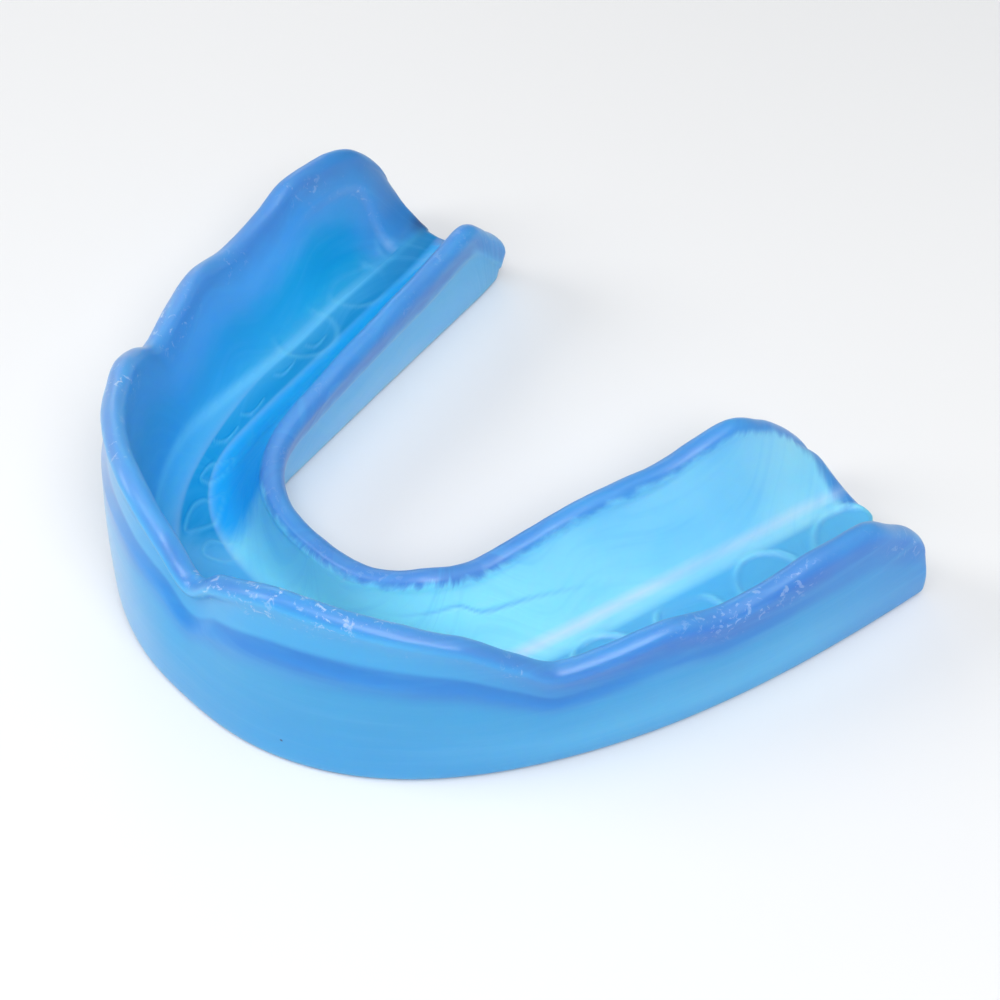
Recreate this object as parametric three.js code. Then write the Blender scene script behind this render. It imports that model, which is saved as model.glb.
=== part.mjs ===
// Boil-and-bite mouthguard: one flexible moulding, a U-shaped trough with a cheek-side wall,
// a thin bite floor and a lower tongue-side wall. Millimetres, +Z up.
// The flat underside lies on Z = 0, the lips face -Y and the arch opens towards +Y.
import * as THREE from "three";

// Overall dimensions.
const CHEEK_END = 44.2; // from the lips' side to the ends of the cheek-side wall
const TONGUE_END = 46.3; // the tongue-side wall reaches further, so the ends are cut slantwise
const FLOOR_THICKNESS = 1.8;
const FOOT_EDGE = 0.5; // small rounding where the walls meet the underside
const FILLET = 2.2; // run of the rounding between a wall and the floor

// Each rail is a long edge of the moulding seen from above: half of a superellipse across the
// front, which runs out into arms that flare apart. "front" is its distance behind the lips' side.
const CHEEK_FOOT = { front: 0, depth: 45, halfWidth: 24.3, power: 2.44, flare: 0.128 };
const CHEEK_RIM = { front: 2.15, depth: 36.5, halfWidth: 23.85, power: 2.3, flare: 0.112 };
const TONGUE_FOOT = { front: 14.2, depth: 5.2, halfWidth: 9.8, power: 2.8, flare: 0.187 };
const TONGUE_RIM = { front: 12.55, depth: 7.2, halfWidth: 8.15, power: 2.8, flare: 0.233 };

// Each wall: radius of its rounded rim, how far its outside bulges, height of its blunt rear end,
// and the share of the half arch over which that end rounds down. The thickness of its foot and
// the height of the rim's centre line are [share of the half arch from the middle, size] pairs.
const CHEEK_WALL = {
  rimRadius: 0.9,
  footThickness: [[0, 3.3], [0.3, 3.3], [0.5, 4], [0.75, 4.8], [1, 5]],
  bulge: 0.25,
  endHeight: 2.6,
  endShare: 0.11,
  heights: [
    [0, 10.7], [0.05, 12.9], [0.145, 14.7], [0.34, 12.7], [0.41, 10.4], [0.46, 8.7],
    [0.52, 9.2], [0.59, 10], [0.67, 9.1], [0.81, 10], [0.89, 9.7], [1, 7.7],
  ],
};
const TONGUE_WALL = {
  rimRadius: 0.9,
  footThickness: [[0, 3.3], [0.4, 4.1], [0.85, 4.5], [1, 5]],
  bulge: 0,
  endHeight: 2.2,
  endShare: 0.13,
  heights: [[0, 5.5], [0.33, 7.1], [0.66, 7.9], [0.85, 7.9], [1, 5.8]],
};

// Where a slice of the moulding meets the tongue-side rails, for its share of the cheek-side
// rails: the inner arch is shorter, so it keeps pace only along the arms.
const TONGUE_SHARE = [[0, 0], [0.25, 0.16], [0.5, 0.31], [0.75, 0.6], [1, 1]];

// Fineness of the mesh.
const RAIL_POINTS = 60; // points round the curved front of a rail
const ARM_STEP = 2; // spacing of the points along a rail's straight arm
const ARCH_SLICES = 24; // along each half of the arch, up to the rounded end
const END_SLICES = 8; // over each rounded end
const RIM_STEPS = 6;
const FILLET_STEPS = 3;

// A smooth curve through [position, value] pairs that doesn't overshoot between them.
function smoothProfile(knots, at) {
  const last = knots.length - 1;
  const slope = (i) => (knots[i + 1][1] - knots[i][1]) / (knots[i + 1][0] - knots[i][0]);
  const tangent = (i) => {
    if (i === 0) return 0;
    if (i === last) return slope(last - 1);
    const before = slope(i - 1);
    const after = slope(i);
    return before * after > 0 ? (2 * before * after) / (before + after) : 0;
  };
  let i = 0;
  while (i < last - 1 && at > knots[i + 1][0]) i += 1;
  const span = knots[i + 1][0] - knots[i][0];
  const t = (at - knots[i][0]) / span;
  const rise = t * t * (3 - 2 * t);
  const leave = t * (1 - t) * (1 - t) * span * tangent(i);
  const arrive = t * t * (t - 1) * span * tangent(i + 1);
  return knots[i][1] + (knots[i + 1][1] - knots[i][1]) * rise + leave + arrive;
}

// The rail from the -X arm's end, round the front, to the +X arm's end.
function railCurve(rail, end) {
  const backs = [];
  for (let i = 0; i <= RAIL_POINTS; i += 1) {
    const angle = (Math.PI / 2) * (i / RAIL_POINTS);
    backs.push(rail.depth * (1 - Math.cos(angle) ** (2 / rail.power)));
  }
  const furthest = end - rail.front;
  for (let back = rail.depth + ARM_STEP; back < furthest; back += ARM_STEP) {
    backs.push(back);
  }
  const reached = backs.filter((back) => back < furthest - ARM_STEP / 4);
  reached.push(furthest);
  const half = reached.map((back) => {
    const ahead = Math.max(0, 1 - back / rail.depth);
    const out = rail.halfWidth * (1 - ahead ** rail.power) ** (1 / rail.power);
    return new THREE.Vector3(out + rail.flare * back, rail.front + back, 0);
  });
  const mirrored = half.slice(1).reverse().map((point) => new THREE.Vector3(-point.x, point.y, 0));
  const curve = new THREE.CatmullRomCurve3([...mirrored, ...half], false, "centripetal");
  curve.arcLengthDivisions = 1200;
  return curve;
}

// A place on a rail, with the horizontal direction across the arch: side 1 points into the arch
// from the cheek side, side -1 points out of it from the tongue side.
function railPlace(curve, share, side) {
  const at = (1 + share) / 2;
  const across = curve.getTangentAt(at);
  across.set(-across.y * side, across.x * side, 0).normalize();
  return { point: curve.getPointAt(at), across };
}

function rimHeight(wall, share) {
  const along = Math.abs(share);
  const height = smoothProfile(wall.heights, along);
  const start = 1 - wall.endShare;
  if (along <= start) return height;
  const past = (along - start) / wall.endShare;
  return wall.endHeight + (height - wall.endHeight) * Math.sqrt(Math.max(0, 1 - past * past));
}

function placed(place, across, height) {
  return place.point.clone().addScaledVector(place.across, across).setZ(height);
}

// One wall of a slice, from its foot on the underside, up the outside, over the rim and down to
// the floor.
function wallOutline(wall, foot, rim, share) {
  const top = rimHeight(wall, share);
  const radius = wall.rimRadius;
  const outline = [placed(foot, FOOT_EDGE, 0)];
  const low = placed(foot, 0, FOOT_EDGE);
  const high = placed(rim, -radius, top);
  for (const t of [0, 0.3, 0.65]) {
    const point = low.clone().lerp(high, t);
    outline.push(point.addScaledVector(foot.across, -wall.bulge * Math.sin(Math.PI * t)));
  }
  for (let i = 0; i <= RIM_STEPS; i += 1) {
    const angle = Math.PI * (1 - i / RIM_STEPS);
    outline.push(placed(rim, radius * Math.cos(angle), top + radius * Math.sin(angle)));
  }
  const inside = outline[outline.length - 1];
  const thickness = smoothProfile(wall.footThickness, Math.abs(share));
  const crease = placed(foot, thickness, FLOOR_THICKNESS);
  const face = inside.clone().sub(crease);
  const run = Math.min(FILLET, face.length() * 0.6);
  const start = crease.clone().addScaledVector(face.normalize(), run);
  const end = placed(foot, thickness + FILLET * 0.6, FLOOR_THICKNESS);
  const bend = new THREE.QuadraticBezierCurve3(start, crease, end);
  outline.push(...bend.getPoints(FILLET_STEPS));
  return outline;
}

// The whole outline of a slice: up and over the cheek-side wall, across the floor, up and over the
// tongue-side wall, and back along the underside.
function sliceOutline(rails, share) {
  const tongueShare = Math.sign(share) * smoothProfile(TONGUE_SHARE, Math.abs(share));
  const cheek = wallOutline(
    CHEEK_WALL,
    railPlace(rails.cheekFoot, share, 1),
    railPlace(rails.cheekRim, share, 1),
    share,
  );
  const tongue = wallOutline(
    TONGUE_WALL,
    railPlace(rails.tongueFoot, tongueShare, -1),
    railPlace(rails.tongueRim, tongueShare, -1),
    tongueShare,
  );
  return [...cheek, ...tongue.reverse()];
}

function sliceShares() {
  const half = [];
  const roundedFrom = 1 - CHEEK_WALL.endShare;
  for (let i = 0; i < ARCH_SLICES; i += 1) half.push((roundedFrom * i) / ARCH_SLICES);
  for (let i = 0; i <= END_SLICES; i += 1) {
    half.push(roundedFrom + CHEEK_WALL.endShare * Math.sin((Math.PI / 2) * (i / END_SLICES)));
  }
  const left = half.slice(1).reverse();
  return [...left.map((share) => -share), ...half];
}

// A closed skin over the slices, with a flat cap on each end.
function mouthguardGeometry() {
  const rails = {
    cheekFoot: railCurve(CHEEK_FOOT, CHEEK_END),
    cheekRim: railCurve(CHEEK_RIM, CHEEK_END),
    tongueFoot: railCurve(TONGUE_FOOT, TONGUE_END),
    tongueRim: railCurve(TONGUE_RIM, TONGUE_END),
  };
  const slices = sliceShares().map((share) => sliceOutline(rails, share));
  const around = slices[0].length;
  const positions = [];
  for (const slice of slices) {
    for (const point of slice) positions.push(point.x, point.y, point.z);
  }
  const faces = [];
  for (let i = 0; i < slices.length - 1; i += 1) {
    for (let j = 0; j < around; j += 1) {
      const a = i * around + j;
      const b = i * around + ((j + 1) % around);
      faces.push(a, a + around, b, b, a + around, b + around);
    }
  }
  addCap(faces, slices[0], 0, true);
  addCap(faces, slices[slices.length - 1], (slices.length - 1) * around, false);
  const geometry = new THREE.BufferGeometry();
  geometry.setAttribute("position", new THREE.Float32BufferAttribute(positions, 3));
  geometry.setIndex(faces);
  geometry.computeVertexNormals();
  return geometry;
}

function addCap(faces, outline, first, flipped) {
  const flat = outline.map((point) => new THREE.Vector2(point.x, point.z));
  const wanted = THREE.ShapeUtils.isClockWise(flat) === flipped;
  for (const [a, b, c] of THREE.ShapeUtils.triangulateShape(flat, [])) {
    if (wanted) faces.push(first + a, first + c, first + b);
    else faces.push(first + a, first + b, first + c);
  }
}

const eva = new THREE.MeshStandardMaterial({ color: 0x4a97e0, roughness: 0.35, metalness: 0 });
const mouthguard = new THREE.Mesh(mouthguardGeometry(), eva);
mouthguard.name = "mouthguard";

// The origin is the middle of the underside.
const bounds = new THREE.Box3().setFromObject(mouthguard);
mouthguard.position.y = -(bounds.min.y + bounds.max.y) / 2;

const group = new THREE.Group();
group.add(mouthguard);

export default group;
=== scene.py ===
"""Translucent blue boil-and-bite mouthguard: a one-piece EVA moulding, built around the frame."""

import math

import bpy
import numpy as np
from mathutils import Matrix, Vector, geometry, noise


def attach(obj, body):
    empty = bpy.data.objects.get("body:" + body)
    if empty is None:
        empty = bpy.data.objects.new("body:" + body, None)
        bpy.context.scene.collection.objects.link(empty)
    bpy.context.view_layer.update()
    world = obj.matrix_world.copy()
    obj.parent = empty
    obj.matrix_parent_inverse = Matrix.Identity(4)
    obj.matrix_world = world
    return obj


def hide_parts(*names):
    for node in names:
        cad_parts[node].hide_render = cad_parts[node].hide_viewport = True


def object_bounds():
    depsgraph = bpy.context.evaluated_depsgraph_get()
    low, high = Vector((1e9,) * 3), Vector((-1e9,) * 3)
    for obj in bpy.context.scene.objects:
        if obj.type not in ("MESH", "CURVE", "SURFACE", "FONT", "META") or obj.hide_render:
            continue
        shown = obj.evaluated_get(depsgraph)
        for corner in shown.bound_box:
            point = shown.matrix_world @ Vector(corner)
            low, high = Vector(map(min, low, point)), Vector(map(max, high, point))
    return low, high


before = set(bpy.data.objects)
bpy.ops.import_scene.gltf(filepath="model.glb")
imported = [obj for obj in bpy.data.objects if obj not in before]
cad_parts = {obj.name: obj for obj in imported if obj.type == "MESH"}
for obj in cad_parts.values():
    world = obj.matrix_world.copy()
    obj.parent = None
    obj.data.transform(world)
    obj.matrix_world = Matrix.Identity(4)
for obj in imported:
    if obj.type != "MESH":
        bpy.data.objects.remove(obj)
cad_low, cad_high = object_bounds()
MM = 0.001

# ---------------------------------------------------------------- dimensions, in millimetres
CHEEK_END = 44.2
TONGUE_END = 46.3
FLOOR = 1.8
FOOT_EDGE = 0.5
FILLET = 2.2
END_ROUNDING = 0.7
CHEEK_FOOT = dict(front=0.0, depth=45.0, half_width=24.3, power=2.44, flare=0.128)
CHEEK_RIM = dict(front=2.15, depth=36.5, half_width=23.85, power=2.3, flare=0.112)
TONGUE_FOOT = dict(front=14.2, depth=5.2, half_width=9.8, power=2.8, flare=0.187)
TONGUE_RIM = dict(front=12.55, depth=7.2, half_width=8.15, power=2.8, flare=0.233)
# Small left-right unevenness of the real rims: how much higher each one stands, from the -X arm's
# end (-1) to the +X arm's end (1).
CHEEK_UNEVEN = [
    (-1, 0.5), (-0.95, 0.5), (-0.9, 0), (-0.82, 0.15), (-0.75, -0.5), (-0.6, -0.2), (-0.5, 0),
    (-0.41, 0.65), (-0.3, -0.2), (0.8, 0), (0.88, -0.1), (0.94, -1), (1, -0.3),
]
TONGUE_UNEVEN = [
    (-1, 0), (-0.95, -0.15), (-0.88, 0.5), (-0.7, 0), (0, 0.1), (0.2, 0.3), (0.32, -0.8),
    (0.5, -0.25), (0.66, -0.4), (0.82, 0.8), (0.9, -0.2), (1, -0.3),
]

CHEEK_WALL = dict(
    radius=0.9,
    thickness=[(0, 3.3), (0.3, 3.3), (0.5, 4.0), (0.75, 4.8), (1, 5.0)],
    bulge=0.25,
    uneven=CHEEK_UNEVEN,
    end_height=2.6,
    end_share=0.11,
    heights=[
        (0, 10.7), (0.05, 12.9), (0.145, 14.7), (0.34, 12.7), (0.41, 10.4), (0.46, 8.7),
        (0.52, 9.2), (0.59, 10.0), (0.67, 9.1), (0.81, 10.0), (0.89, 9.7), (1, 7.7),
    ],
)
TONGUE_WALL = dict(
    radius=0.9,
    thickness=[(0, 3.3), (0.4, 4.1), (0.85, 4.5), (1, 5.0)],
    bulge=0.0,
    uneven=TONGUE_UNEVEN,
    end_height=2.2,
    end_share=0.13,
    heights=[(0, 5.5), (0.33, 7.1), (0.66, 7.9), (0.85, 7.9), (1, 5.8)],
)
TONGUE_SHARE = [(0, 0), (0.25, 0.16), (0.5, 0.31), (0.75, 0.6), (1, 1)]

# Relief on the bite floor, which is flat for this far to each side of its middle.
FLOOR_HALF_WIDTH = 3.8
# The round marks lie a little to the cheek side of the middle, each a ring round a shallow dish.
FIRST_MARK = 4.6
MARK_SPACING = 7.0
MARK_COUNT = 7
MARK_RADIUS = 2.6
MARK_HEIGHT = 0.2
MARK_ASIDE = 1.3
RING_WIDTH = 0.4
MARKED_ARMS = ((1, 0, 1.0), (-1, 4, 0.4))  # side, first mark that shows, strength
# Leaf-shaped marks and single arcs: both tips, as distances along the arch and across the floor,
# and the half width.
LEAF_MARKS = [
    ((-8.2, -0.4), (-8.9, 2.6), 1.2),
    ((-10.0, -1.3), (-15.4, 2.6), 1.0),
    ((-15.4, -0.4), (-19.4, 2.6), 0.7),
]
ARC_MARKS = [
    ((-19.0, -1.0), (-22.3, 0.5), 0.7),
    ((-22.7, -0.4), (-26.0, 0.6), 0.7),
    ((-27.4, -0.7), (-30.2, 0.0), 0.6),
    ((-31.6, -0.6), (-34.2, 0.4), 0.6),
]
LEAF_HEIGHT = 0.1
LEAF_LINE_WIDTH = 0.26

# Relief on the walls. The hairline is a fine wavy line on the tongue-side wall, given by distances
# along the arch and above the fold.
HAIRLINE = [(8, 2.6), (14, 3.7), (17.5, 4.3), (20, 3.6), (24, 3.2), (31, 1.7)]
HAIRLINE_DEPTH = 0.06
HAIRLINE_WIDTH = 0.24
HAIRLINE_MIDDLE, HAIRLINE_REACH = 20, 13
# Below, a pair of values is where a step starts and where it is complete.
LEDGE_BELOW_RIM = (3.2, 3.7)
LEDGE_DEPTH = 0.16
LEDGE_FADE = 5
SHOULDER_UP_WALL = (0.77, 0.81)  # shares of the wall's height
SHOULDER_DEPTH = 0.42
SHOULDER_REACH = 44
NOTCH_DENT = 0.45
NOTCH_REACH = 3.4
REAR_LOBES = (34, 42)  # along the arch, either way
LOBE_FROM_EDGE = (3.0, 3.8)
LOBE_DEPTH = 0.22
BEAD_FROM_EDGE = (1.1, 1.5)
BEAD_STEP = 0.12
RIM_BAND = 3.2
EDGE_BLEND = 0.6
# How much further back two edges of the arms' ends reach, and where along the arch that starts.
FAR_RIGHT = 1.3
FAR_LEFT = 0.7
FAR_ENDS = (42, 50.5)

# The painted highlight along the fold beside the bite floor: how far out on the floor it lies at
# the rear, how much it climbs up the cheek-side wall towards the front, and where, as minus
# distances from the middle.
FOLD_AT_REAR = 1.2
FOLD_CLIMB = 2.6
FOLD_CLIMBS_AT = (-32, -14)
# Where along the arch a painted shade darkens the left arm's fold at its rear end.
REAR_SHADE_AT = -49.4

# Fineness of the mesh: slices along half the arch and over each rounded end, points around a slice.
HALF_SLICES = 200
END_SLICES = 9
FOOT_STEPS, OUTER_STEPS, RIM_STEPS, INNER_STEPS, FILLET_STEPS = 5, 26, 16, 20, 10
FLOOR_STEPS, UNDER_STEPS = 36, 12


# ---------------------------------------------------------------- shape of the moulding
def smooth_profile(knots, at):
    """A smooth curve through (position, value) pairs that doesn't overshoot between them."""
    xs, ys = np.array(knots, float).T
    slopes = np.diff(ys) / np.diff(xs)
    tangents = np.zeros(len(xs))
    tangents[-1] = slopes[-1]
    for i in range(1, len(xs) - 1):
        before, after = slopes[i - 1], slopes[i]
        if before * after > 0:
            tangents[i] = 2 * before * after / (before + after)
    at = np.asarray(at, float)
    i = np.clip(np.searchsorted(xs, at) - 1, 0, len(xs) - 2)
    span = xs[i + 1] - xs[i]
    t = (at - xs[i]) / span
    rise = ys[i] + (ys[i + 1] - ys[i]) * t * t * (3 - 2 * t)
    leave = t * (1 - t) ** 2 * span * tangents[i]
    arrive = t * t * (t - 1) * span * tangents[i + 1]
    return rise + leave + arrive


def rail(spec, end, shares, side):
    """Points of a rail at shares of its half length, and the level direction across the arch."""
    reach = end - spec["front"]
    angle = np.linspace(0, math.pi / 2, 1500)
    back = spec["depth"] * (1 - np.cos(angle) ** (2 / spec["power"]))
    back = np.append(back, np.linspace(spec["depth"], max(reach, spec["depth"] + 1), 400)[1:])
    back = np.append(back[back < reach - 1e-6], reach)
    ahead = np.clip(1 - back / spec["depth"], 0, None)
    x = spec["half_width"] * (1 - ahead ** spec["power"]) ** (1 / spec["power"])
    x = x + spec["flare"] * back
    y = spec["front"] + back
    run = np.append(0, np.cumsum(np.hypot(np.diff(x), np.diff(y))))
    at = np.abs(shares) * run[-1]
    step = 0.004 * run[-1]
    ahead_at = np.clip(at + step, 0, run[-1])
    behind = at - step
    x0 = np.sign(behind) * np.interp(np.abs(behind), run, x)
    tx = np.interp(ahead_at, run, x) - x0
    ty = np.interp(ahead_at, run, y) - np.interp(np.abs(behind), run, y)
    mirror = np.where(shares < 0, -1, 1)
    length = np.hypot(tx, ty)
    points = np.stack([np.interp(at, run, x) * mirror, np.interp(at, run, y)], 1)
    across = np.stack([-ty * mirror / length * side, tx / length * side], 1)
    return points, across


def rim_height(wall, share):
    along = np.abs(share)
    height = smooth_profile(wall["heights"], along) + smooth_profile(wall["uneven"], share)
    past = np.clip((along - 1 + wall["end_share"]) / wall["end_share"], 0, 1)
    rounded = wall["end_height"] + (height - wall["end_height"]) * np.sqrt(1 - past**2)
    return np.where(past > 0, rounded, height)


def placed(place, distance, height):
    """Points at a distance across the arch from a rail, at a height."""
    points, across = place
    count = len(points)
    distance = np.broadcast_to(distance, count)
    height = np.broadcast_to(height, count)
    return np.concatenate([points + across * distance[:, None], height[:, None]], 1)


def wall_rows(wall, foot, rim, share):
    """Rows of points up a wall's outside, over its rim and down to the floor, with their parts."""
    top = rim_height(wall, share)
    radius = wall["radius"]
    rows, parts = [], []

    def add(points, part):
        rows.append(points)
        parts.append(part)

    for i in range(FOOT_STEPS):
        angle = math.pi / 2 * i / FOOT_STEPS
        height = FOOT_EDGE * (1 - math.cos(angle))
        add(placed(foot, FOOT_EDGE * (1 - math.sin(angle)), height), "outer")
    low = placed(foot, 0, FOOT_EDGE)
    high = placed(rim, -radius, top)
    outward = np.concatenate([-foot[1], np.zeros((len(top), 1))], 1)
    for i in range(OUTER_STEPS):
        t = i / OUTER_STEPS
        swell = wall["bulge"] * math.sin(math.pi * t)
        add(low * (1 - t) + high * t + outward * swell, "outer")
    for i in range(RIM_STEPS + 1):
        angle = math.pi * (1 - i / RIM_STEPS)
        add(placed(rim, radius * math.cos(angle), top + radius * math.sin(angle)), "rim")
    inside = rows[-1]
    thickness = smooth_profile(wall["thickness"], np.abs(share))
    crease = placed(foot, thickness, FLOOR)
    face = inside - crease
    length = np.linalg.norm(face, axis=1)
    start = crease + face * (np.minimum(FILLET, length * 0.6) / length)[:, None]
    end = placed(foot, thickness + FILLET * 0.6, FLOOR)
    for i in range(1, INNER_STEPS):
        t = i / INNER_STEPS
        add(inside * (1 - t) + start * t, "inner")
    for i in range(FILLET_STEPS + 1):
        t = i / FILLET_STEPS
        add(start * (1 - t) ** 2 + 2 * crease * t * (1 - t) + end * t * t, "inner")
    return rows, parts


def slice_shares():
    """Shares of the half arch, with how far each slice is drawn in to round the rear ends."""
    half_length = 66.0
    last = 1 - END_ROUNDING / half_length
    half = [(last * i / HALF_SLICES, 0.0) for i in range(HALF_SLICES + 1)]
    for i in range(1, END_SLICES + 1):
        angle = math.pi / 2 * i / END_SLICES
        share = last + (1 - last) * math.sin(angle)
        half.append((share, END_ROUNDING * (1 - math.cos(angle))))
    shares = [-share for share, _ in half[:0:-1]] + [share for share, _ in half]
    insets = [inset for _, inset in half[:0:-1]] + [inset for _, inset in half]
    return np.array(shares), np.array(insets)


def between(a, b, steps):
    return [a * (1 - i / steps) + b * (i / steps) for i in range(1, steps)]


def grid_normals(grid):
    along = np.gradient(grid, axis=0)
    around = np.roll(grid, -1, 1) - np.roll(grid, 1, 1)
    normals = np.cross(along, around)
    return normals / np.linalg.norm(normals, axis=2)[..., None].clip(1e-9)


def slice_normals(grid):
    """Outward directions within each slice, square to the arch, for drawing the slices in."""
    columns = (0, len(cheek_rows), around // 2)
    forward = np.gradient(grid[:, columns].mean(1), axis=0)[:, None, :] * [1, 1, 0]
    normals = np.cross(forward, np.roll(grid, -1, 1) - np.roll(grid, 1, 1))
    return normals / np.linalg.norm(normals, axis=2)[..., None].clip(1e-9)


def soften(grid, passes):
    """Rounds the creases that run along the arch, and leaves the ends where they are."""
    for _ in range(passes):
        grid = grid * 0.5 + (np.roll(grid, 1, 1) + np.roll(grid, -1, 1)) * 0.25
    return grid


def bump(distance, width):
    """A smooth hump: 1 at no distance, 0 from width on."""
    t = np.clip(1 - np.abs(distance) / width, 0, 1)
    return t * t * (3 - 2 * t)


def step_up(value, low, high):
    t = np.clip((value - low) / (high - low), 0, 1)
    return t * t * (3 - 2 * t)


def spread_rows(weights, passes=4):
    """Softens a row weight around the slice, so that zones meet gradually."""
    for _ in range(passes):
        weights = weights * 0.5 + (np.roll(weights, 1) + np.roll(weights, -1)) * 0.25
    return np.broadcast_to(weights, (slices, around))


def ripples(grid, scale, seed):
    """Smooth deterministic unevenness, about -1 to 1, for each point of the grid."""
    flat = grid.reshape(-1, 3)
    shift = Vector((seed * 17.3, seed * 5.1, seed * 9.7))
    values = [noise.noise(Vector(p) / scale + shift) for p in flat]
    return np.array(values).reshape(grid.shape[:2])


shares, insets = slice_shares()
tongue_shares = np.sign(shares) * smooth_profile(TONGUE_SHARE, np.abs(shares))
cheek_rows, cheek_parts = wall_rows(
    CHEEK_WALL,
    rail(CHEEK_FOOT, CHEEK_END, shares, 1),
    rail(CHEEK_RIM, CHEEK_END, shares, 1),
    shares,
)
tongue_rows, tongue_parts = wall_rows(
    TONGUE_WALL,
    rail(TONGUE_FOOT, TONGUE_END, tongue_shares, -1),
    rail(TONGUE_RIM, TONGUE_END, tongue_shares, -1),
    tongue_shares,
)
floor_rows = between(cheek_rows[-1], tongue_rows[-1], FLOOR_STEPS)
under_rows = between(tongue_rows[0], cheek_rows[0], UNDER_STEPS)
rows = cheek_rows + floor_rows + tongue_rows[::-1] + under_rows
parts = (
    ["cheek " + part for part in cheek_parts]
    + ["floor"] * len(floor_rows)
    + ["tongue " + part for part in tongue_parts[::-1]]
    + ["under"] * len(under_rows)
)
grid = soften(np.stack(rows, 1), passes=3)
grid[..., 2] = grid[..., 2].clip(0)
slices, around = grid.shape[:2]

# Distances along the arch and around each slice, for relief and for patterns that follow the flow.
steps = np.linalg.norm(np.roll(grid, -1, 1) - grid, axis=2)
girth = np.concatenate([np.zeros((slices, 1)), np.cumsum(steps, 1)[:, :-1]], 1)
middle_row = len(cheek_rows) + FLOOR_STEPS // 2
centre_line = grid[:, middle_row]
run = np.append(0, np.cumsum(np.linalg.norm(np.diff(centre_line, axis=0), axis=1)))
run = run - run[slices // 2]
along = np.repeat(run[:, None], around, 1)
is_part = {part: np.array([p == part for p in parts], float) for part in set(parts)}


def rim_distance(wall_name):
    rim_columns = np.nonzero(is_part[wall_name + " rim"])[0]
    apex = rim_columns[len(rim_columns) // 2]
    return np.abs(girth - girth[:, apex][:, None])


# Each point's distance from the rim on its own side of the floor's middle, and that rim's height.
on_cheek_side = np.arange(around) < middle_row
from_rim = np.where(on_cheek_side, rim_distance("cheek"), rim_distance("tongue"))
rim_tops = np.where(
    on_cheek_side,
    rim_height(CHEEK_WALL, shares)[:, None],
    rim_height(TONGUE_WALL, tongue_shares)[:, None],
)

# Its distance from the rim or the arm's rear edge, whichever is nearer, by a soft minimum.
from_end = (run[-1] - np.abs(along)) * 0.8
from_edge = -np.log(np.exp(-from_rim / EDGE_BLEND) + np.exp(-from_end / EDGE_BLEND)) * EDGE_BLEND


def crease_distance(wall_name, offset):
    """Signed distance around the slice from the fold between a wall and the floor."""
    columns = np.nonzero(is_part[wall_name + " inner"])[0]
    fold = columns[-FILLET_STEPS // 2] if wall_name == "cheek" else columns[FILLET_STEPS // 2]
    return girth - girth[:, fold][:, None] - offset


# Relief on the bite floor: round marks, worn away in places, then leaf-shaped marks and arcs.
lift = np.zeros((slices, around))
# The marks' raised outlines, which the colour also lightens as a painted highlight.
mark_lines = np.zeros((slices, around))
sideways = girth - girth[:, middle_row][:, None]
on_floor = step_up(FLOOR_HALF_WIDTH - np.abs(sideways), 0, 2.0)
worn = step_up(ripples(grid, scale=4.5, seed=7), -0.25, 0.1)
for side, first, strength in MARKED_ARMS:
    for i in range(first, MARK_COUNT):
        k = int(np.argmin(np.abs(run - side * (FIRST_MARK + MARK_SPACING * i))))
        aside = grid[k, len(cheek_rows) - FILLET_STEPS, :2] - centre_line[k, :2]
        mark = centre_line[k, :2] + aside / np.linalg.norm(aside) * MARK_ASIDE
        offset = np.linalg.norm(grid[..., :2] - mark, axis=2)
        ring = bump(offset - MARK_RADIUS, RING_WIDTH) * on_floor * worn * strength
        dish = step_up(MARK_RADIUS - offset, -0.2, 0.2) * on_floor * strength * worn
        lift += (ring - 0.5 * dish) * MARK_HEIGHT
        mark_lines = np.maximum(mark_lines, ring)

thin_marks = [(*mark, True) for mark in LEAF_MARKS] + [(*mark, False) for mark in ARC_MARKS]
for tip, far_tip, half_width, is_leaf in thin_marks:
    length = math.dist(tip, far_tip)
    ahead = (far_tip[0] - tip[0]) / length, (far_tip[1] - tip[1]) / length
    reach = ((along - tip[0]) * ahead[0] + (sideways - tip[1]) * ahead[1]) / length
    aside = (along - tip[0]) * ahead[1] - (sideways - tip[1]) * ahead[0]
    if is_leaf:
        aside = np.abs(aside)
    outside = aside - half_width * np.sin(math.pi * reach.clip(0, 1))
    between_tips = step_up(0.5 - np.abs(reach - 0.5), 0, 0.06)
    short_of_wall = step_up(3.4 - sideways, 0, 1.6)
    line = bump(outside, LEAF_LINE_WIDTH) * (between_tips * short_of_wall)
    lift += LEAF_HEIGHT * line
    mark_lines = np.maximum(mark_lines, 0.35 * line)

# Relief on the tongue-side wall: a fine line inside, and a ledge under the rim outside.
above_fold = crease_distance("tongue", 0.0) - smooth_profile(HAIRLINE, along)
hairline = bump(above_fold, HAIRLINE_WIDTH) * bump(along - HAIRLINE_MIDDLE, HAIRLINE_REACH)
hairline = hairline * is_part["tongue inner"]
lift -= HAIRLINE_DEPTH * hairline
ledge = step_up(from_rim, *LEDGE_BELOW_RIM) * bump(from_rim - LEDGE_BELOW_RIM[0], LEDGE_FADE)
lift -= LEDGE_DEPTH * ledge * is_part["tongue outer"]

# Relief on the lip side: a shoulder under the rim, and a dent under the front notch. The shoulder
# dips a little towards the notch.
up_wall = grid[..., 2] / rim_tops.clip(2) + 0.05 * bump(along - 1, 16)
shoulder = step_up(up_wall, *SHOULDER_UP_WALL)
front = bump(along, SHOULDER_REACH)
outer = is_part["cheek outer"]
lift -= SHOULDER_DEPTH * shoulder * front * spread_rows(outer, 3)
lift -= NOTCH_DENT * bump(along, NOTCH_REACH) * outer * step_up(grid[..., 2], 3, 10)

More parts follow.
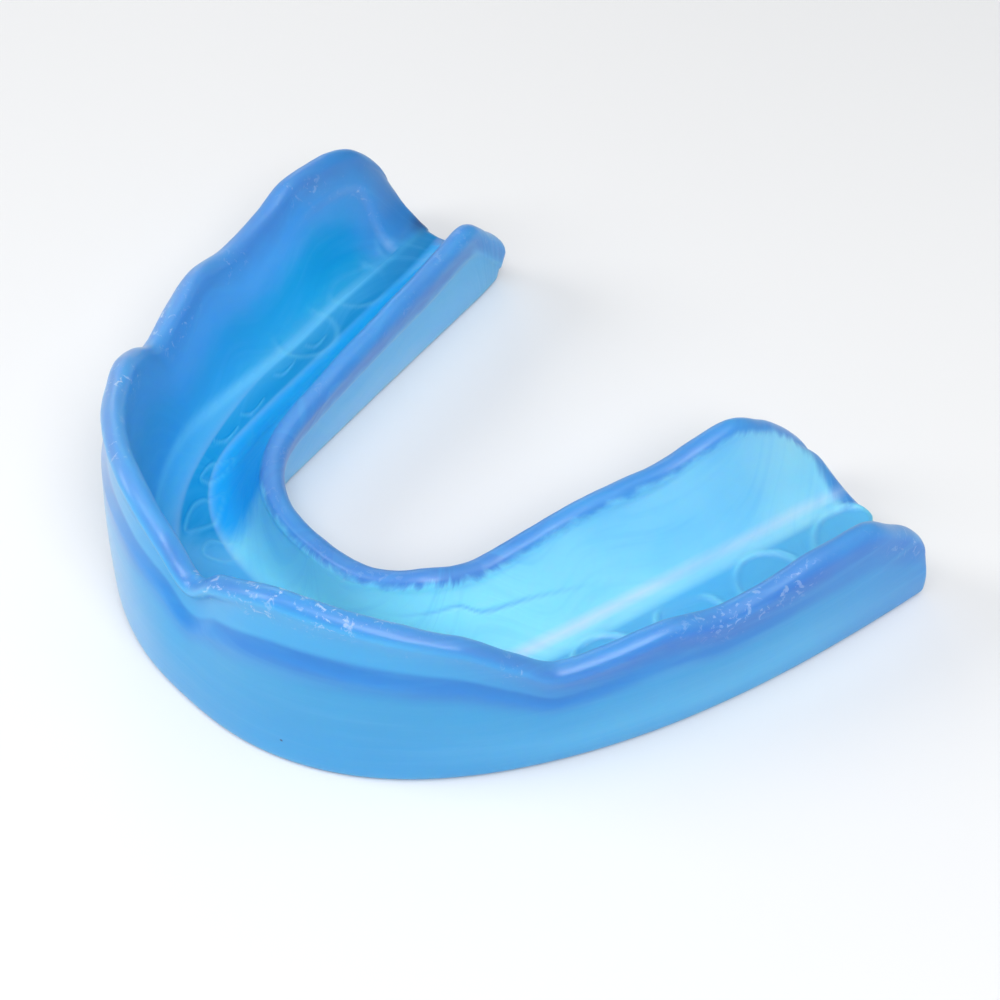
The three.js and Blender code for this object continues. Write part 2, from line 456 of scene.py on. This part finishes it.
# Relief inside the walls: an arc in each rear lobe, and a face just inside the tongue-side bead.
rear = step_up(np.abs(along), *REAR_LOBES)
lobe = step_up(from_edge, *LOBE_FROM_EDGE) * rear
lift -= LOBE_DEPTH * lobe * spread_rows(is_part["cheek inner"], 30)
below_bead = step_up(from_edge, *BEAD_FROM_EDGE)
lift -= BEAD_STEP * below_bead * spread_rows(is_part["tongue inner"], 30)

# Slight unevenness, most along the rims and none underneath.
near_rim = bump(from_rim, RIM_BAND)
lift += ripples(grid, scale=4.0, seed=1) * 0.10 * near_rim
lift += ripples(grid, scale=1.3, seed=2) * 0.035 * near_rim
inner_face = is_part["cheek inner"] + is_part["tongue inner"] + is_part["floor"]
lift += ripples(grid * [1, 1, 1.6], scale=6.0, seed=3) * 0.07 * inner_face
lift += ripples(grid, scale=9.0, seed=4) * 0.06 * (outer + is_part["tongue outer"])
lift *= 1 - is_part["under"]

# The real ends are not quite alike: two of their edges reach a little further back.
right_edge = spread_rows(is_part["tongue inner"] + is_part["floor"], 60)
left_edge = spread_rows(is_part["cheek rim"] + is_part["cheek inner"], 60)
far_right = step_up(along, *FAR_ENDS) * right_edge
far_left = step_up(-along, *FAR_ENDS) * left_edge
grid[..., 1] += FAR_RIGHT * far_right + FAR_LEFT * far_left

drawn_in = slice_normals(grid) * insets[:, None, None]
grid = grid + grid_normals(grid) * lift[..., None] - drawn_in
grid[..., 2] = grid[..., 2].clip(0)


# ---------------------------------------------------------------- mesh
def cap_faces(i):
    """Triangles that close one of the end slices, facing backwards."""
    outline = grid[i]
    faces = []
    for triangle in geometry.tessellate_polygon([[Vector((p[0], p[2], 0)) for p in outline]]):
        a, b, c = (outline[j] for j in triangle)
        faces_back = np.cross(b - a, c - a)[1] > 0
        corners = triangle if faces_back else triangle[::-1]
        faces.append(tuple(i * around + j for j in corners))
    return faces


faces = []
for i in range(slices - 1):
    for j in range(around):
        a, b = i * around + j, i * around + (j + 1) % around
        faces.append((a, a + around, b + around, b))
faces += cap_faces(0) + cap_faces(slices - 1)

shift = np.array([(cad_low.x + cad_high.x) / 2 / MM, cad_low.y / MM, cad_low.z / MM])
vertices = (grid.reshape(-1, 3) + shift) * MM
mesh = bpy.data.meshes.new("mouthguard_skin")
mesh.from_pydata(vertices.tolist(), [], faces)
mesh.validate()
mesh.shade_smooth()
skin = bpy.data.objects.new("mouthguard_skin", mesh)
bpy.context.scene.collection.objects.link(skin)


def keep_scalar(name, values):
    attribute = mesh.attributes.new(name, "FLOAT", "POINT")
    attribute.data.foreach_set("value", np.ascontiguousarray(values, np.float32).ravel())


# Which face each row belongs to, for its colours. Both rounded rims are split at their tops.
before_apex = {}
for name in ("cheek", "tongue"):
    rim = np.nonzero(is_part[name + " rim"])[0]
    before_apex[name] = np.where(np.arange(around) <= rim[len(rim) // 2], is_part[name + " rim"], 0)
inner_rim = is_part["cheek rim"] - before_apex["cheek"]
gap_rim = is_part["tongue rim"] - before_apex["tongue"]
keep_scalar("cheek_face", spread_rows(is_part["cheek inner"] + inner_rim))
keep_scalar("tongue_face", spread_rows(is_part["tongue inner"] + before_apex["tongue"]))
keep_scalar("floor_face", spread_rows(is_part["floor"]))
keep_scalar("gap_face", spread_rows(is_part["tongue outer"] + gap_rim + is_part["under"] * 0.5))

keep_scalar("from_rim", from_rim)
keep_scalar("from_edge", from_edge)
keep_scalar("height_share", up_wall)
keep_scalar("mark_lines", mark_lines)
keep_scalar("hairline", hairline)
keep_scalar("lobe_arc", bump(from_edge - 3.5, 0.5) * rear * is_part["cheek inner"])

# Painted highlights along the folds beside the bite floor.
fold_offset = FOLD_AT_REAR - FOLD_CLIMB * step_up(-np.abs(along), *FOLD_CLIMBS_AT)
fold = crease_distance("cheek", fold_offset)
keep_scalar("cheek_fold_highlight", bump(fold, 0.8) + 0.45 * bump(fold, 3.0) * (fold > 0))
keep_scalar("tongue_fold_highlight", bump(crease_distance("tongue", 0.0), 0.65))
# Painted shade: a dark patch where the left arm's fold meets its rear edge.
keep_scalar("rear_painted_shade", bump(along - REAR_SHADE_AT, 2.4) * bump(fold + 0.6, 1.8))
flow = mesh.attributes.new("flow", "FLOAT_VECTOR", "POINT")
flow_values = np.stack([along, girth, np.zeros_like(along)], 2)
flow.data.foreach_set("vector", flow_values.astype(np.float32).ravel())


# ---------------------------------------------------------------- materials
REACH = 60.0  # mm along the arch that the patterns' scales of 0 to 1 cover, on each side
BAND = 16.0  # mm down from a rim that they cover


def colour(red, green, blue):
    """An sRGB colour, 0 to 255, as linear RGBA."""
    def linear(v):
        v /= 255
        return v / 12.92 if v <= 0.04045 else ((v + 0.055) / 1.055) ** 2.4
    return (linear(red), linear(green), linear(blue), 1.0)


class Nodes:
    """Short ways to add nodes to a material."""

    def __init__(self, material):
        material.use_nodes = True
        self.tree = material.node_tree
        self.shader = self.tree.nodes["Principled BSDF"]

    def add(self, kind, **values):
        node = self.tree.nodes.new("ShaderNode" + kind)
        for name, value in values.items():
            setattr(node, name, value)
        return node

    def link(self, source, target):
        if hasattr(source, "links"):
            self.tree.links.new(source, target)
        else:
            target.default_value = source

    def attribute(self, name, output="Fac"):
        return self.add("Attribute", attribute_name=name).outputs[output]

    def maths(self, operation, a, b=0.0, clamp=False):
        node = self.add("Math", operation=operation, use_clamp=clamp)
        self.link(a, node.inputs[0])
        self.link(b, node.inputs[1])
        return node.outputs[0]

    def times(self, a, b, clamp=False):
        return self.maths("MULTIPLY", a, b, clamp)

    def over(self, a, b):
        return self.maths("DIVIDE", a, b)

    def mix(self, factor, a, b):
        node = self.add("Mix", data_type="RGBA", clamp_factor=True)
        self.link(factor, node.inputs["Factor"])
        self.link(a, node.inputs["A"])
        self.link(b, node.inputs["B"])
        return node.outputs["Result"]

    def scaled(self, vector, scale):
        node = self.add("Mapping")
        self.link(vector, node.inputs["Vector"])
        node.inputs["Scale"].default_value = scale
        return node.outputs["Vector"]

    def noise(self, vector, scale, detail=3.0, roughness=0.5, distortion=0.0):
        node = self.add("TexNoise")
        self.link(vector, node.inputs["Vector"])
        node.inputs["Scale"].default_value = scale
        node.inputs["Detail"].default_value = detail
        node.inputs["Roughness"].default_value = roughness
        node.inputs["Distortion"].default_value = distortion
        return node.outputs["Fac"]

    def ramp(self, factor, *stops):
        """A colour ramp; each stop is (position, colour or grey)."""
        node = self.add("ValToRGB")
        node.color_ramp.interpolation = "EASE"
        elements = node.color_ramp.elements
        while len(elements) < len(stops):
            elements.new(0.5)
        for element, (position, value) in zip(elements, stops):
            element.position = position
            element.color = value if isinstance(value, tuple) else (value, value, value, 1)
        self.link(factor, node.inputs["Fac"])
        return node.outputs["Color"]


ROYAL = colour(52, 124, 208)
PERIWINKLE = colour(82, 144, 210)
COBALT = colour(30, 178, 244)
AZURE = colour(60, 166, 222)
CERULEAN = colour(6, 170, 218)
ABYSS = colour(2, 124, 192)
PALE = colour(148, 220, 242)
OUTER = colour(56, 164, 224)
SKY = colour(96, 190, 238)
SCUFF_AND_SHEEN_WHITE = colour(214, 228, 246)
LINE = colour(104, 198, 238)
GLOW = colour(146, 240, 255)
AQUA = colour(78, 182, 234)
MILK = colour(132, 200, 244)
POOL = colour(98, 186, 230)
DEEP = colour(0, 150, 206)
CORNER_SHADE_PLUM = colour(40, 50, 96)
SHADE = colour(50, 138, 214)
SLATE = colour(88, 172, 234)
NECK = colour(72, 176, 232)
SPECK = colour(20, 50, 110)


class Eva(Nodes):
    """Milky translucent blue EVA: deeper rims, painted highlights along the folds, painted light
    and shade on the two arms, flow streaks, scuffs and specks.
    """

    def __init__(self, material):
        super().__init__(material)
        self.flow = self.attribute("flow", "Vector")
        self.position = self.add("TexCoord").outputs["Object"]
        self.from_rim = self.attribute("from_rim")
        self.height_share = self.attribute("height_share")

        # Where a point lies along the arch: the arms' ends, the front, and the two sides.
        parts_of_flow = self.add("SeparateXYZ")
        self.link(self.flow, parts_of_flow.inputs[0])
        along_at = parts_of_flow.outputs["X"]
        either_way = self.over(self.maths("ABSOLUTE", along_at), REACH)
        self.signed = self.maths("ADD", self.over(along_at, 2 * REACH), 0.5)
        self.to_front = self.ramp(either_way, (0.05, 1.0), (0.75, 0.0))
        self.at_neck = self.ramp(either_way, (0.15, 1.0), (0.42, 0.0))
        self.to_end = self.ramp(either_way, (0.55, 0.0), (0.85, 1.0))

        # Distances down from the rims and edges, a little ragged.
        ragged = self.noise(self.scaled(self.flow, (0.6, 0.9, 1)), 1.0, 4.0, 0.55)
        ragged = self.times(self.maths("SUBTRACT", ragged, 0.5), 1.2)
        self.down = self.over(self.maths("ADD", self.from_rim, ragged), BAND)
        self.inward = self.over(self.maths("ADD", self.attribute("from_edge"), ragged), BAND)

        # Painted light and shade: the right arm's trough is painted pale and the left arm's deep,
        # with a ragged border near the front.
        ragged_side = self.maths("ADD", self.signed, self.times(ragged, 0.012))
        self.painted_light_side = self.ramp(ragged_side, (0.405, 0.0), (0.435, 0.9), (0.7, 1.0))

        # Streaks that follow the flow of the moulding along the arch.
        self.streak = self.noise(self.scaled(self.flow, (0.10, 0.8, 1)), 1.0, 3.0, 0.5, 0.4)

    def outside(self):
        """Cyan neck over a darker shoulder line of painted shade, and a lighter wall, with a
        painted whitish sheen at the front left.
        """
        up_wall_at = self.times(self.height_share, 0.9)
        neck = self.ramp(
            up_wall_at,
            (0.2, OUTER), (0.55, AZURE), (0.69, SHADE), (0.735, SHADE), (0.775, NECK), (0.95, NECK),
        )
        rear_wall = self.ramp(
            up_wall_at,
            (0.02, OUTER), (0.25, AQUA), (0.58, OUTER), (0.72, SHADE), (0.86, ROYAL),
        )
        tone = self.mix(self.at_neck, rear_wall, neck)
        tone = self.mix(self.times(self.to_end, 0.7), tone, ROYAL)
        on_bead = self.ramp(self.over(self.from_rim, BAND), (0.03, 1.0), (0.08, 0.0))
        tone = self.mix(on_bead, tone, PERIWINKLE)
        # Painted sheen: a whitish reflection over the lower wall at the front left.
        painted_sheen_at = self.ramp(self.signed, (0.14, 0.0), (0.32, 1.0), (0.41, 1.0), (0.51, 0.0))
        low_wall = self.ramp(self.height_share, (0.45, 1.0), (0.8, 0.7), (1.0, 0.25))
        return self.mix(self.times(self.times(painted_sheen_at, low_wall), 0.7), tone, SCUFF_AND_SHEEN_WHITE)

    def cheek_side(self):
        """Periwinkle rim over cerulean, deepest at the arms' ends."""
        tone = self.ramp(
            self.inward,
            (0.06, PERIWINKLE), (0.22, SLATE), (0.42, CERULEAN), (0.9, CERULEAN),
        )
        tone = self.mix(self.times(self.to_front, 0.75), tone, SLATE)
        return self.mix(self.times(self.to_end, 0.7), tone, ABYSS)

    def tongue_side(self):
        """The trough's face of the tongue-side wall: painted shade, cobalt, on the left; painted
        light, pale with a painted glow at the front, on the right.
        """
        tone = self.mix(self.painted_light_side, COBALT, PALE)
        glowing = self.times(self.times(self.to_front, self.painted_light_side), 0.8)
        tone = self.mix(glowing, tone, GLOW)
        near_bead = self.ramp(self.inward, (0.035, 1.0), (0.085, 0.0))
        return self.mix(near_bead, tone, PERIWINKLE)

    def gap_side(self):
        """The other face of that wall, towards the gap: milky under a deeper rim."""
        tone = self.ramp(
            self.down,
            (0.02, PERIWINKLE), (0.14, ROYAL), (0.23, SKY), (0.55, MILK),
        )
        return self.mix(self.times(self.to_end, 0.5), tone, AZURE)

    def bite_floor(self):
        """Deep blue painted shade on the left, deepest at the arm's end, and paler painted light on
        the right.
        """
        tone = self.mix(self.painted_light_side, DEEP, POOL)
        deep_end = self.maths("SUBTRACT", self.to_end, self.painted_light_side, clamp=True)
        return self.mix(self.times(deep_end, 0.5), tone, ABYSS)

    def folds_and_marks(self, base):
        """Painted highlights on the folds, soft streaks, the marks that the relief leaves, and a
        painted corner shade.
        """
        fold_strength = self.maths("SUBTRACT", 0.9, self.times(self.to_end, 0.85))
        # Painted highlight along the cheek-side fold, and on the right arm along the tongue-side
        # fold.
        base = self.mix(self.times(self.attribute("cheek_fold_highlight"), fold_strength), base, LINE)
        right_arm = self.ramp(self.signed, (0.6, 0.0), (0.7, 0.75), (0.88, 0.5), (0.93, 0.0))
        base = self.mix(self.times(self.attribute("tongue_fold_highlight"), right_arm), base, SCUFF_AND_SHEEN_WHITE)
        base = self.mix(self.ramp(self.streak, (0.45, 0.0), (0.75, 0.2)), base, SKY)
        cloud = self.noise(self.position, 90.0, 2.0, 0.5)
        base = self.mix(self.ramp(cloud, (0.35, 0.2), (0.6, 0.0)), base, COBALT)
        for name, strength, tone in (
            # painted shade in the left arm's rear corner
            ("rear_painted_shade", 0.8, CORNER_SHADE_PLUM),
            # painted highlight on the marks' raised outlines
            ("mark_lines", 0.45, PALE),
            ("hairline", 0.4, SHADE),
            ("lobe_arc", 0.12, SCUFF_AND_SHEEN_WHITE),
        ):
            base = self.mix(self.times(self.attribute(name), strength), base, tone)
        return base

    def scuffs(self):
        """Where whitish scuffs lie: in clusters along the rims, fewer on the tongue side."""
        strokes = self.noise(self.position, 1500.0, 4.0, 0.7, 0.8)
        strokes = self.ramp(strokes, (0.56, 0.0), (0.64, 1.0))
        clusters = self.noise(self.position, 130.0, 2.0, 0.5)
        clusters = self.ramp(clusters, (0.47, 0.0), (0.62, 1.0))
        near = self.ramp(self.over(self.from_rim, 4.0), (0.35, 1.0), (0.8, 0.0))
        faces = self.attribute("gap_face"), self.attribute("tongue_face")
        tongue_wall = self.maths("ADD", *faces, clamp=True)
        near = self.maths("SUBTRACT", near, self.times(tongue_wall, 0.75), clamp=True)
        near = self.maths("ADD", near, self.times(self.attribute("lobe_arc"), 0.8), clamp=True)
        near = self.times(near, self.ramp(self.signed, (0.6, 1.0), (0.7, 0.45)))
        return self.times(self.times(strokes, clusters), near, clamp=True)

    def specks(self):
        """Where dark specks lie in the moulding: in some cells of a coarse pattern."""
        cells = self.add("TexVoronoi")
        self.link(self.position, cells.inputs["Vector"])
        cells.inputs["Scale"].default_value = 190.0
        dot = self.ramp(cells.outputs["Distance"], (0.012, 1.0), (0.03, 0.0))
        chosen = self.maths("GREATER_THAN", cells.outputs["Color"], 0.62)
        return self.times(dot, chosen)

    def surface(self, scuff):
        """Soft light inside a satin skin, rougher and slightly raised where it is scuffed."""
        inputs = self.shader.inputs
        inputs["Subsurface Weight"].default_value = 0.75
        inputs["Subsurface Radius"].default_value = (0.35, 0.8, 1.2)
        inputs["Subsurface Scale"].default_value = 1.2 * MM
        inputs["IOR"].default_value = 1.45
        inputs["Coat Weight"].default_value = 0.11
        inputs["Coat Roughness"].default_value = 0.15
        rough = self.maths("ADD", self.times(scuff, 0.3), 0.35)
        self.link(rough, inputs["Roughness"])

        grain = self.noise(self.position, 700.0, 2.0, 0.5)
        height = self.maths("ADD", self.times(self.streak, 0.3), self.times(scuff, 0.08))
        height = self.maths("ADD", height, self.times(grain, 0.08))
        bumps = self.add("Bump")
        bumps.inputs["Strength"].default_value = 0.4
        bumps.inputs["Distance"].default_value = 0.3 * MM
        self.link(height, bumps.inputs["Height"])
        self.link(bumps.outputs["Normal"], inputs["Normal"])


def eva_material():
    material = bpy.data.materials.new("eva_blue")
    n = Eva(material)
    base = n.mix(n.attribute("gap_face"), n.outside(), n.gap_side())
    base = n.mix(n.attribute("cheek_face"), base, n.cheek_side())
    base = n.mix(n.attribute("floor_face"), base, n.bite_floor())
    base = n.mix(n.attribute("tongue_face"), base, n.tongue_side())
    base = n.folds_and_marks(base)
    scuff = n.scuffs()
    base = n.mix(n.times(scuff, 0.6), base, SCUFF_AND_SHEEN_WHITE)
    base = n.mix(n.specks(), base, SPECK)
    n.link(base, n.shader.inputs["Base Color"])
    n.surface(scuff)
    return material


def floor_material():
    material = bpy.data.materials.new("pale_floor")
    n = Nodes(material)
    position = n.add("TexCoord").outputs["Object"]
    tone = n.noise(position, 3.0, 2.0)
    n.link(n.ramp(tone, (0.3, 0.82), (0.7, 0.86)), n.shader.inputs["Base Color"])
    n.shader.inputs["Roughness"].default_value = 0.7
    return material


mesh.materials.append(eva_material())
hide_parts("mouthguard")
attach(skin, "root")

# ---------------------------------------------------------------- floor, light and camera
FLOOR_SIZE = 3.0
FLOOR_GAP = 0.05 * MM
LIGHT_DISTANCE = 0.45
CAMERA_AZIMUTH = 45.3
CAMERA_ELEVATION = 47.65
CAMERA_DISTANCE = 142.8 * MM
CAMERA_LENS = 72.1
CAMERA_AIM = (5.79, 24.73, 6.0)  # mm to the right of the middle, back from the lips, and up

floor_mesh = bpy.data.meshes.new("floor")
half = FLOOR_SIZE / 2
corners = [(-half, -half, 0), (half, -half, 0), (half, half, 0), (-half, half, 0)]
floor_mesh.from_pydata(corners, [], [(0, 1, 2, 3)])
floor_mesh.materials.append(floor_material())
floor = bpy.data.objects.new("floor", floor_mesh)
floor.location.z = cad_low.z - FLOOR_GAP
bpy.context.scene.collection.objects.link(floor)

centre = (cad_low + cad_high) / 2


def direction(azimuth, elevation):
    a, e = math.radians(azimuth), math.radians(elevation)
    return Vector((math.sin(a) * math.cos(e), -math.cos(a) * math.cos(e), math.sin(e)))


def area_light(name, azimuth, elevation, size, power):
    light = bpy.data.lights.new(name, "AREA")
    light.shape = "DISK"
    light.size = size
    light.energy = power
    lamp = bpy.data.objects.new(name, light)
    back = direction(azimuth, elevation)
    lamp.location = centre + back * LIGHT_DISTANCE
    lamp.rotation_euler = back.to_track_quat("Z", "Y").to_euler()
    bpy.context.scene.collection.objects.link(lamp)


area_light("key", azimuth=64, elevation=54, size=0.30, power=1.3)
area_light("left", azimuth=-45, elevation=32, size=0.24, power=0.7)
area_light("front", azimuth=12, elevation=72, size=0.25, power=0.4)
area_light("back", azimuth=150, elevation=70, size=0.30, power=0.25)
area_light("rear_left", azimuth=-122, elevation=20, size=0.16, power=0.12)

world = bpy.data.worlds.new("studio")
world.use_nodes = True
background = world.node_tree.nodes["Background"]
background.inputs["Color"].default_value = (0.9, 0.94, 1.0, 1)
background.inputs["Strength"].default_value = 0.24
scene = bpy.context.scene
scene.world = world
scene.view_settings.view_transform = "Standard"

across, behind, above = (value * MM for value in CAMERA_AIM)
aim = Vector((centre.x + across, cad_low.y + behind, cad_low.z + above))
camera_data = bpy.data.cameras.new("camera")
camera_data.lens = CAMERA_LENS
camera_data.clip_start = 0.01
camera = bpy.data.objects.new("camera", camera_data)
back = direction(CAMERA_AZIMUTH, CAMERA_ELEVATION)
camera.location = aim + back * CAMERA_DISTANCE
camera.rotation_euler = back.to_track_quat("Z", "Y").to_euler()
scene.collection.objects.link(camera)
scene.camera = camera
